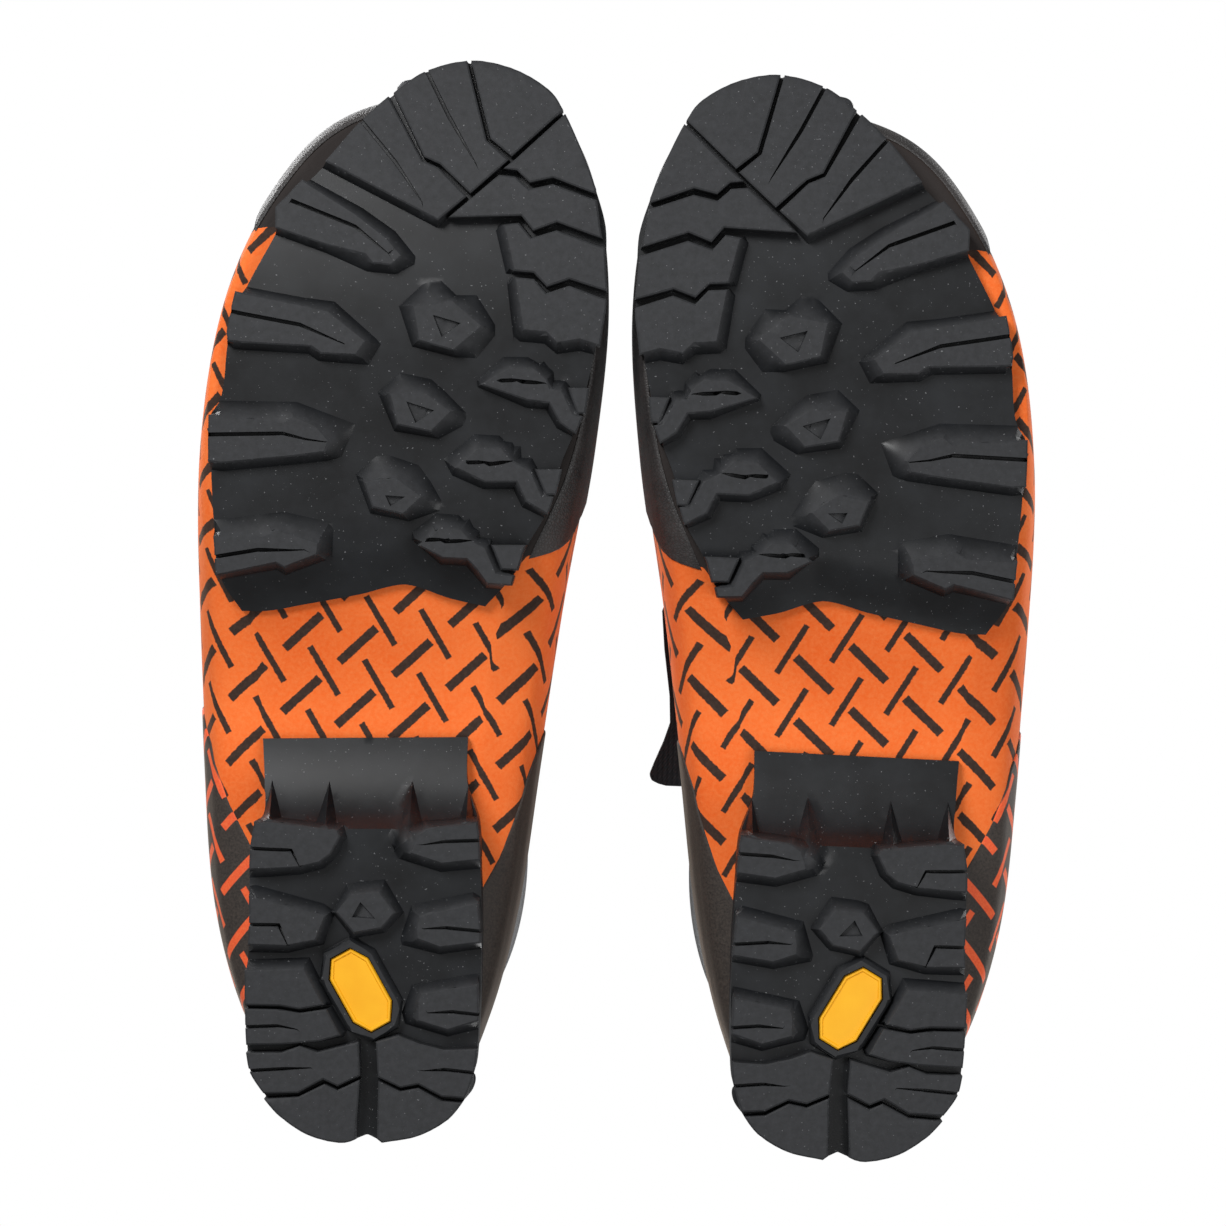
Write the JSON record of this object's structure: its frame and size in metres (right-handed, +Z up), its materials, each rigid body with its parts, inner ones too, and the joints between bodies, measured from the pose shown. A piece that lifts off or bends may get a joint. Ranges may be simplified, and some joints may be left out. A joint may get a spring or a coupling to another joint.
{
  "type": "mountaineering boots",
  "caption": "Pair of insulated mountaineering boots with lugged rubber outsoles, a printed fabric wrap, hinged ankle cuffs and front zips.",
  "frame": {"origin": "middle of the pair's box, on the ground under the soles", "axes": "+Z up, toes toward -Y, heels toward +Y; the wearer's right boot is at -X"},
  "size_m": [0.24, 0.3155, 0.2455],
  "materials": {
    "outsole_rubber": "moulded, matt with a soft sheen",
    "rand_rubber": "fine grained, matt",
    "inlay_yellow": "satin",
    "wrap_orange": "short-napped printed fabric",
    "dark_fabric": "dense coated weave",
    "midsole_foam": "closed-cell foam",
    "shank_carbon": "satin woven carbon",
    "welt_plastic": "satin",
    "gaiter_fabric": "stretch softshell",
    "liner_fabric": "brushed knit",
    "strap_webbing": "ribbed webbing",
    "lace_cord": "braided cord",
    "slider_metal": "satin"
  },
  "bodies": {
    "boots_lower": {"left_ankle_bellows": "gaiter_fabric", "left_bootie_lower": "liner_fabric", "left_footbed": "midsole_foam", "left_forefoot_outsole": "outsole_rubber", "left_heel_counter": "dark_fabric", "left_heel_inlay": "inlay_yellow", "left_heel_outsole": "outsole_rubber", "left_heel_welt": "welt_plastic", "left_instep_strap": "strap_webbing", "left_lower_wrap": "wrap_orange", "left_midsole": "midsole_foam", "left_shank_board": "shank_carbon", "left_toe_rand": "rand_rubber", "left_toe_welt": "welt_plastic", "left_vamp": "dark_fabric", "right_ankle_bellows": "gaiter_fabric", "right_bootie_lower": "liner_fabric", "right_footbed": "midsole_foam", "right_forefoot_outsole": "outsole_rubber", "right_heel_counter": "dark_fabric", "right_heel_inlay": "inlay_yellow", "right_heel_outsole": "outsole_rubber", "right_heel_welt": "welt_plastic", "right_instep_strap": "strap_webbing", "right_lower_wrap": "wrap_orange", "right_midsole": "midsole_foam", "right_shank_board": "shank_carbon", "right_toe_rand": "rand_rubber", "right_toe_welt": "welt_plastic", "right_vamp": "dark_fabric"},
    "right_cuff": {"right_gaiter_cuff": "gaiter_fabric", "right_bootie_cuff": "liner_fabric", "right_tongue": "liner_fabric", "right_collar_binding": "gaiter_fabric", "right_lace": "lace_cord", "right_lace_rail_lateral": "strap_webbing", "right_lace_rail_medial": "strap_webbing", "right_lace_lock": "welt_plastic", "right_zip_tape_lateral": "strap_webbing", "right_zip_tape_medial": "strap_webbing"},
    "right_zip_slider": {"right_zip_slider": "slider_metal"},
    "right_zip_puller": {"right_zip_puller": "lace_cord"},
    "right_strap_tab": {"right_strap_tab": "strap_webbing"},
    "right_pull_loop": {"right_pull_loop": "strap_webbing"},
    "left_cuff": {"left_gaiter_cuff": "gaiter_fabric", "left_bootie_cuff": "liner_fabric", "left_tongue": "liner_fabric", "left_collar_binding": "gaiter_fabric", "left_lace": "lace_cord", "left_lace_rail_lateral": "strap_webbing", "left_lace_rail_medial": "strap_webbing", "left_lace_lock": "welt_plastic", "left_zip_tape_lateral": "strap_webbing", "left_zip_tape_medial": "strap_webbing"},
    "left_zip_slider": {"left_zip_slider": "slider_metal"},
    "left_zip_puller": {"left_zip_puller": "lace_cord"},
    "left_strap_tab": {"left_strap_tab": "strap_webbing"},
    "left_pull_loop": {"left_pull_loop": "strap_webbing"}
  },
  "joints": [
    {"name": "right_cuff_flex", "type": "hinge", "parent": "boots_lower", "child": "right_cuff", "pos_m": [-0.06874, 0.06861, 0.101], "axis": [1, 0, 0], "range_deg": [-8, 12], "deforming": ["right_ankle_bellows"]},
    {"name": "right_zip_slide", "type": "slide", "parent": "right_cuff", "child": "right_zip_slider", "axis": [0.0425, -0.2827, -0.9583], "range_m": [0, 0.08]},
    {"name": "right_zip_puller_swing", "type": "hinge", "parent": "right_zip_slider", "child": "right_zip_puller", "pos_m": [-0.0734, -0.00081, 0.225], "axis": [1, 0, 0], "range_deg": [-150, 0]},
    {"name": "right_strap_tab_lift", "type": "hinge", "parent": "boots_lower", "child": "right_strap_tab", "pos_m": [-0.02481, 0.04461, 0.096], "axis": [-0.0363, -0.9993, 0], "range_deg": [-130, 0]},
    {"name": "right_pull_loop_swing", "type": "hinge", "parent": "right_cuff", "child": "right_pull_loop", "pos_m": [-0.06874, 0.14133, 0.2311], "axis": [1, 0, 0], "range_deg": [0, 70]},
    {"name": "left_cuff_flex", "type": "hinge", "parent": "boots_lower", "child": "left_cuff", "pos_m": [0.06603, 0.07368, 0.101], "axis": [0.999, 0.0436, 0], "range_deg": [-8, 12], "deforming": ["left_ankle_bellows"]},
    {"name": "left_zip_slide", "type": "slide", "parent": "left_cuff", "child": "left_zip_slider", "axis": [-0.0301, -0.2843, -0.9583], "range_m": [0, 0.08]},
    {"name": "left_zip_puller_swing", "type": "hinge", "parent": "left_zip_slider", "child": "left_zip_puller", "pos_m": [0.07372, 0.00453, 0.225], "axis": [0.999, 0.0436, 0], "range_deg": [-150, 0]},
    {"name": "left_strap_tab_lift", "type": "hinge", "parent": "boots_lower", "child": "left_strap_tab", "pos_m": [0.0232, 0.04779, 0.096], "axis": [-0.0799, 0.9968, 0], "range_deg": [-45, 85]},
    {"name": "left_pull_loop_swing", "type": "hinge", "parent": "left_cuff", "child": "left_pull_loop", "pos_m": [0.06286, 0.14633, 0.2311], "axis": [0.999, 0.0436, 0], "range_deg": [0, 70]}
  ]
}
